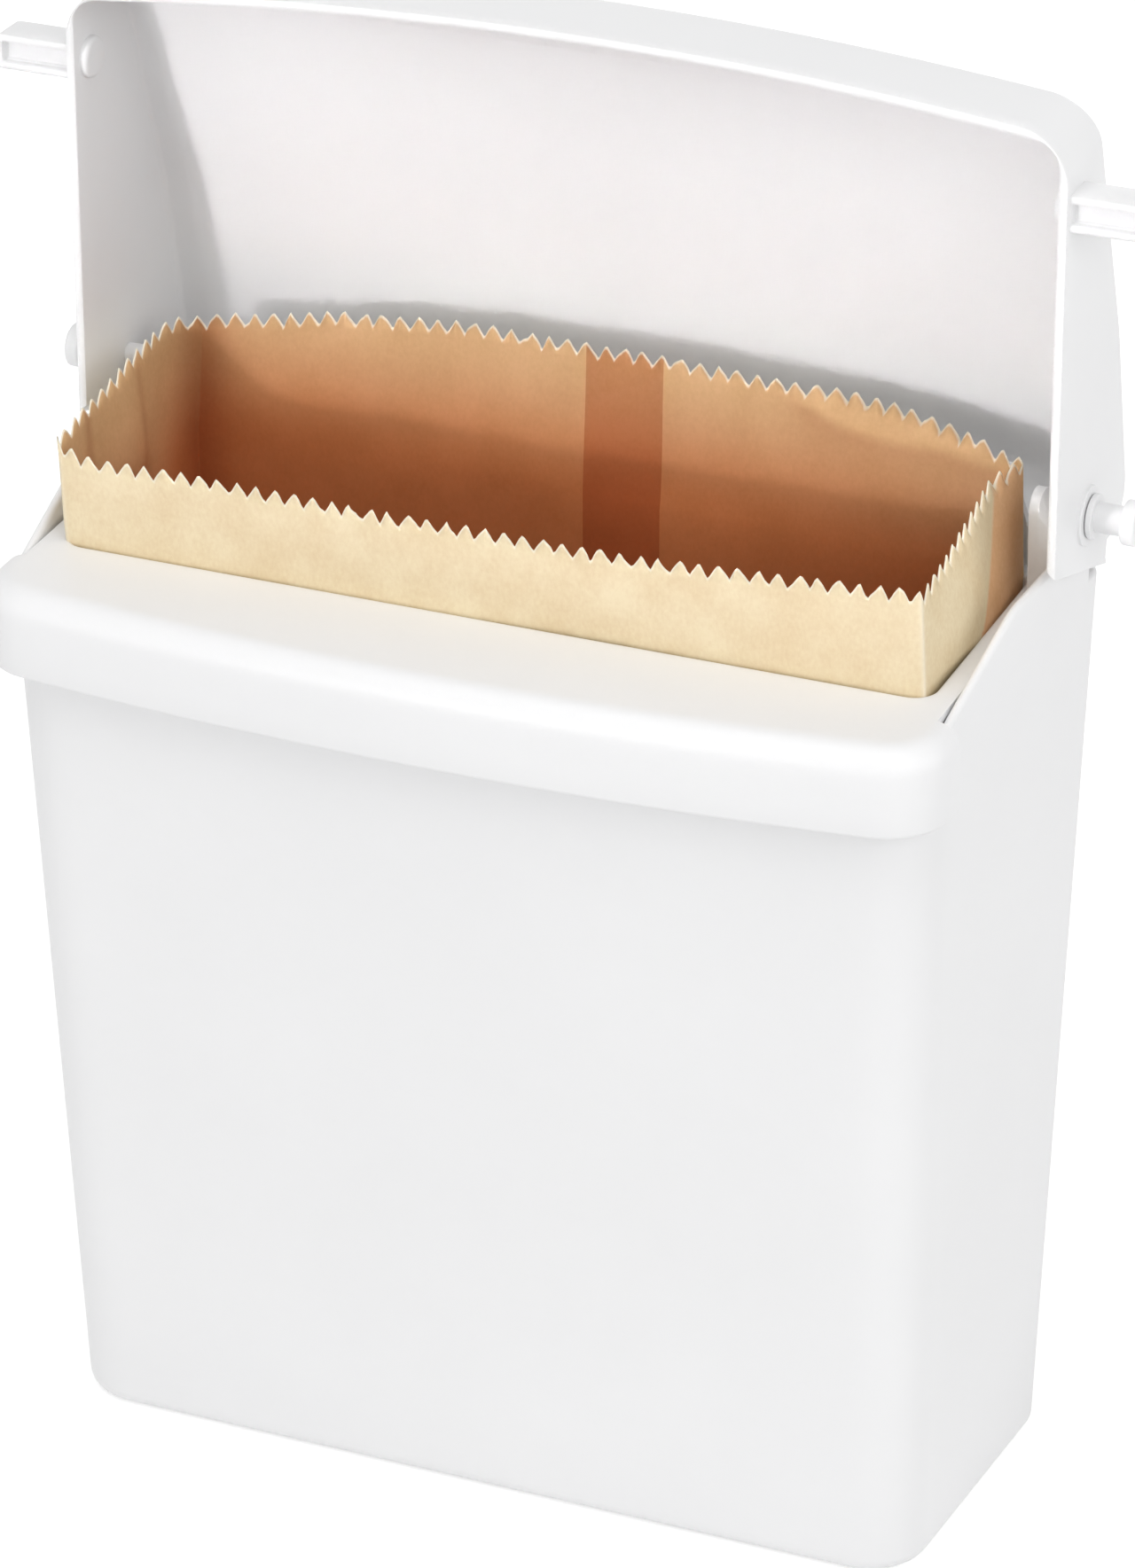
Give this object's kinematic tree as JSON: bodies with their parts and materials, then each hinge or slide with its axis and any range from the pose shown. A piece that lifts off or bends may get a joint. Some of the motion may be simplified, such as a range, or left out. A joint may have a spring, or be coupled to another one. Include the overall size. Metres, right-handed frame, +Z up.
{
  "type": "washroom disposal bin",
  "caption": "Tapered white plastic disposal bin with a stepped rim, lift-out rigid liner, kraft paper bag and a hood lid hinged on side pegs, shown open",
  "frame": {"origin": "Middle of the flat base, on the floor that the bin stands on", "axes": "+X to the bin's right as seen by a user facing it, along the hinge axis; +Y from the front to the back; +Z up"},
  "size_m": [0.32, 0.1436, 0.3987],
  "materials": {
    "white_plastic": "satin moulded",
    "kraft_paper": "uncoated"
  },
  "bodies": {
    "bin": {"body_shell": "white_plastic", "rigid_liner": "white_plastic", "paper_bag": "kraft_paper", "hinge_pin_left": "white_plastic", "hinge_pin_right": "white_plastic", "hinge_washer_left": "white_plastic", "hinge_washer_right": "white_plastic"},
    "lid": {"lid_shell": "white_plastic", "lift_arm_left": "white_plastic", "lift_arm_right": "white_plastic", "arm_cap_left": "white_plastic", "arm_cap_right": "white_plastic"}
  },
  "joints": [
    {"name": "lid_hinge", "type": "hinge", "parent": "bin", "child": "lid", "pos_m": [0, 0.042, 0.2785], "axis": [1, 0, 0], "range_deg": [0, 92]}
  ]
}
